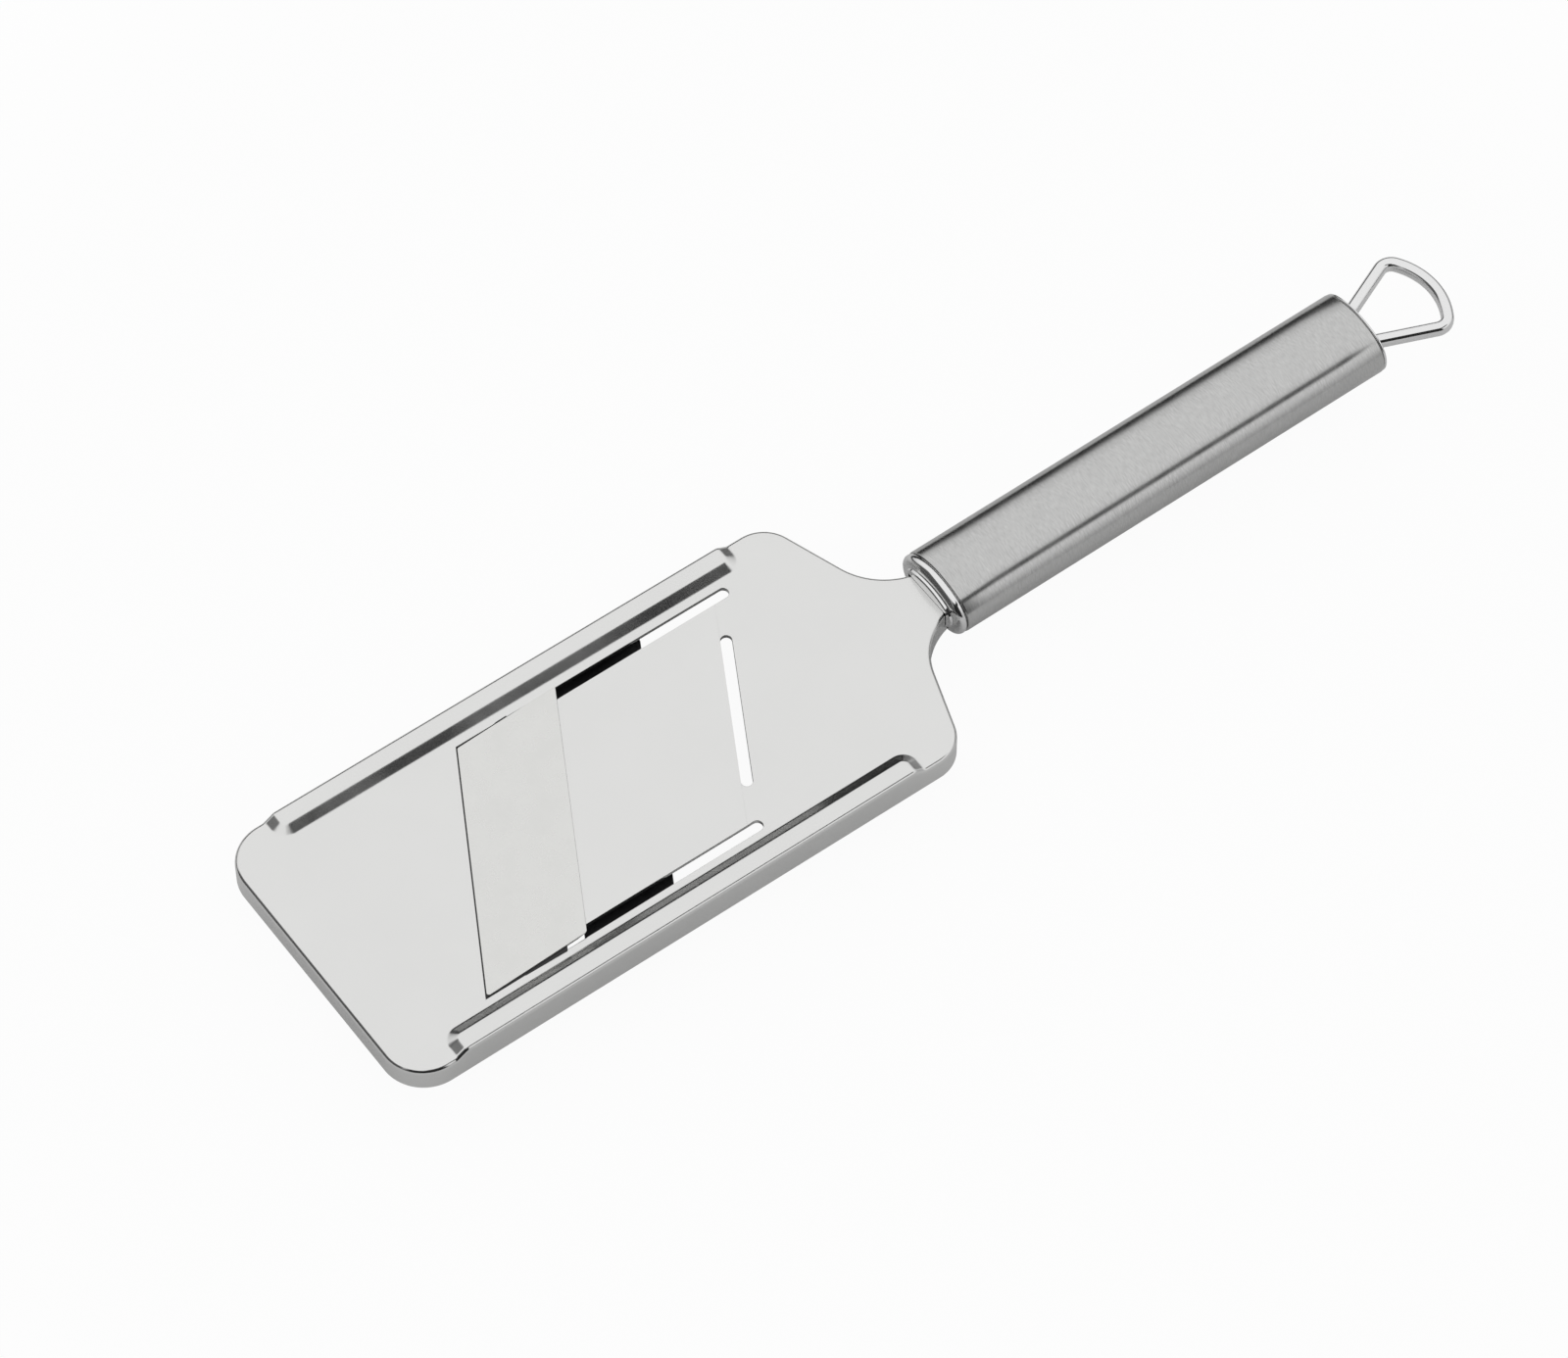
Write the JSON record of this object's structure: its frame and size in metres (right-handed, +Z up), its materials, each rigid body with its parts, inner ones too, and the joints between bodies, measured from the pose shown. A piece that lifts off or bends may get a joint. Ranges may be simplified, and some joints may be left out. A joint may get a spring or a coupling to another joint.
{
  "type": "mandoline slicer",
  "caption": "Hand-held mandoline slicer: flanged steel plate with guide rails, skewed blade, adjustable spring tongue, oval tube handle and hanging loop.",
  "frame": {"origin": "on the plate's slicing face, on the centre line, level with the handle ends of the two rails", "axes": "+X from the tip to the hanging loop, +Y across the plate, +Z up from the slicing face"},
  "size_m": [0.3153, 0.0758, 0.0265],
  "materials": {
    "plate_steel": "satin stainless, polished on the folded edge",
    "blade_steel": "fine matt ground stainless",
    "bridge_steel": "black oxide, satin",
    "fastener_steel": "plain stainless",
    "insert_brass": "turned",
    "pad_nylon": "natural nylon",
    "knob_plastic": "black moulded, fine texture",
    "handle_steel": "brushed across the tube",
    "polished_steel": "mirror polished stainless",
    "inner_steel": "unfinished, inside the handle"
  },
  "bodies": {
    "frame": {"slicer_plate": "plate_steel", "blade": "blade_steel", "adjuster_bridge": "bridge_steel", "bridge_nut": "fastener_steel", "nut_washer": "fastener_steel", "handle_tube": "handle_steel", "front_ferrule": "polished_steel", "tang_block": "inner_steel", "rear_cap": "polished_steel", "hanging_loop": "polished_steel"},
    "tongue": {"cutting_tongue": "plate_steel"},
    "pad": {"pressure_pad": "pad_nylon"},
    "adjuster": {"adjuster_screw": "fastener_steel", "knob_insert": "insert_brass", "adjuster_knob": "knob_plastic", "knob_cap": "knob_plastic"}
  },
  "joints": [
    {"name": "pad_lift", "type": "slide", "parent": "frame", "child": "pad", "axis": [0, 0, 1], "range_m": [-0.00146, 0.00052]},
    {"name": "knob_turn", "type": "hinge", "parent": "pad", "child": "adjuster", "pos_m": [-0.0585, 0, -0.01], "axis": [0, 0, 1], "range_deg": [-650, 225]},
    {"name": "tongue_flex", "type": "hinge", "parent": "frame", "child": "tongue", "pos_m": [-0.02644, 0, -0.0005], "axis": [0.4848, 0.8746, 0], "range_deg": [-3, 1.05]}
  ],
  "couplings": [
    {"joint": "pad_lift", "follows": "knob_turn", "m_per_rad": 0.00012732},
    {"joint": "tongue_flex", "follows": "knob_turn", "ratio": 0.0045413}
  ]
}
